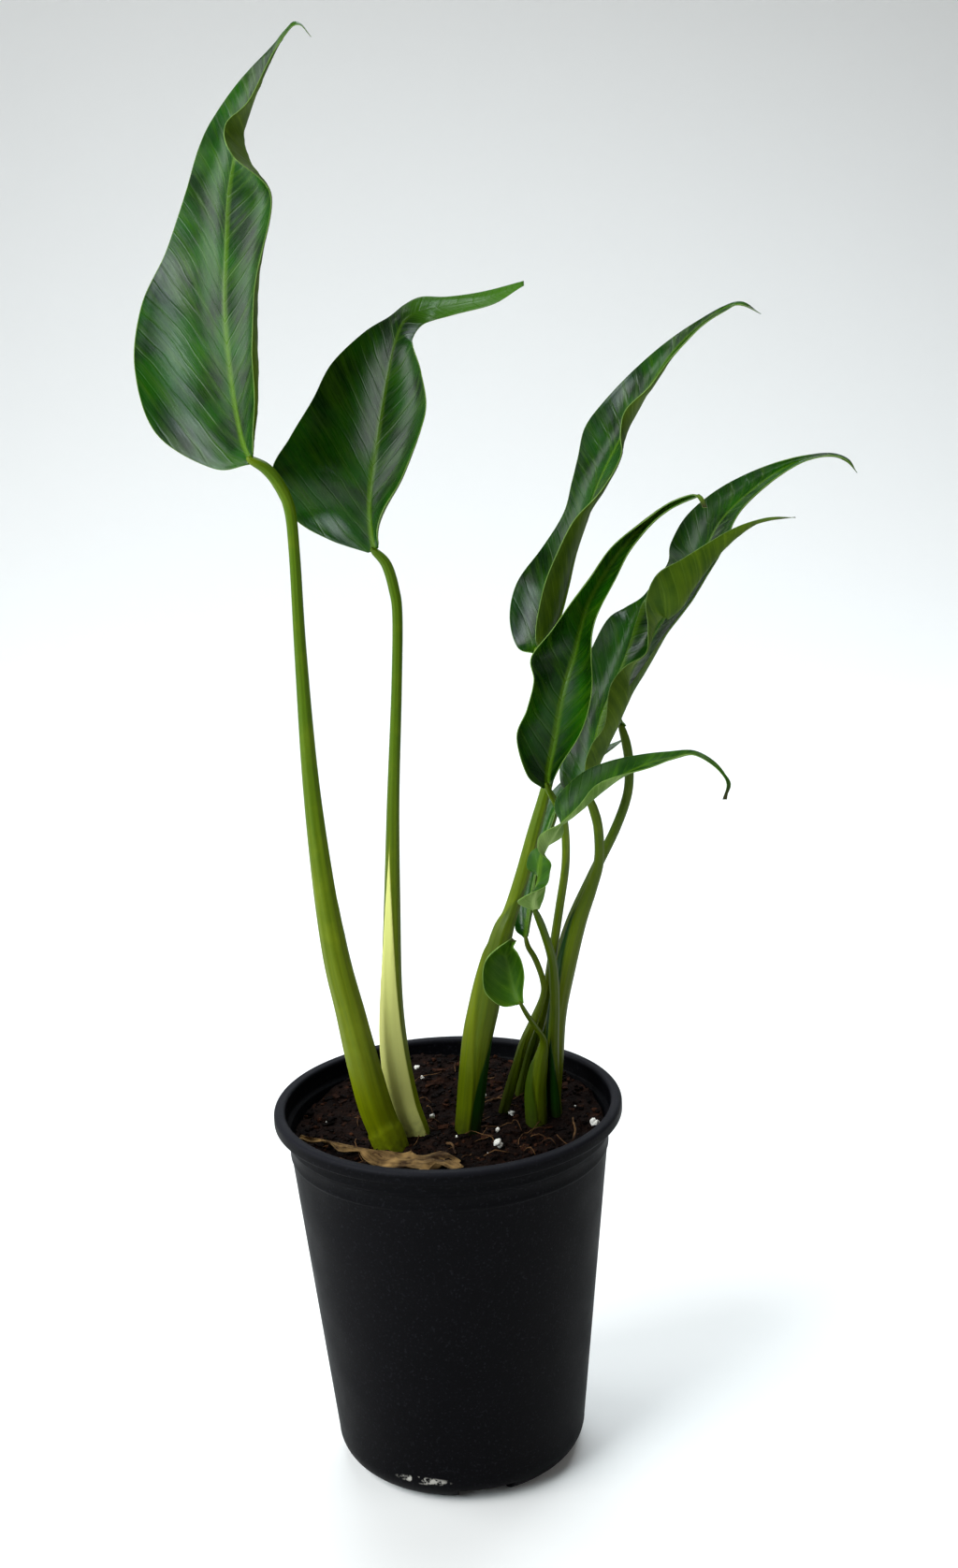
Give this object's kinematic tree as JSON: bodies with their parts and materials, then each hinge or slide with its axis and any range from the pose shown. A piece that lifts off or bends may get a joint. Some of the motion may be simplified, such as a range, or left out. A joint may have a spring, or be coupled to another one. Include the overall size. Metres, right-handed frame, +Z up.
{
  "type": "potted monstera plant",
  "caption": "Young monstera with long curling leaves on tall stalks, growing from compost in a tapered black nursery pot.",
  "frame": {"origin": "centre of the pot's underside, on the plane it stands on", "axes": "+Z up along the pot's axis, +X toward the side the smaller leaves lean to, +Y away from the front"},
  "size_m": [0.3163, 0.165, 0.6644],
  "materials": {
    "pot_plastic": "semi-matte black injection-moulded plastic with a fine grain",
    "compost": null,
    "stalk": null,
    "leaf": null,
    "young_leaf": null,
    "withered_leaf": "dry brown papery leaf",
    "perlite": "off-white crumbly grain",
    "bark": "rough brown bark and dead root"
  },
  "bodies": {
    "root": {"blade_broad_left": "leaf", "blade_curly_front": "young_leaf", "blade_folded_right": "leaf", "blade_front_dark": "leaf", "blade_high_right": "leaf", "blade_slender_back": "leaf", "blade_tall_left": "leaf", "blade_tall_right": "leaf", "blade_young_cup": "young_leaf", "compost": "compost", "perlite_1": "perlite", "perlite_2": "perlite", "perlite_3": "perlite", "perlite_4": "perlite", "perlite_5": "perlite", "perlite_6": "perlite", "perlite_7": "perlite", "perlite_8": "perlite", "perlite_9": "perlite", "pot": "pot_plastic", "stalk_broad_left": "stalk", "stalk_curly_front": "stalk", "stalk_folded_right": "stalk", "stalk_front_dark": "stalk", "stalk_high_right": "stalk", "stalk_slender_back": "stalk", "stalk_tall_left": "stalk", "stalk_tall_right": "stalk", "stalk_young_cup": "stalk", "twig_1": "bark", "twig_2": "bark", "withered_leaf": "withered_leaf"}
  },
  "joints": []
}
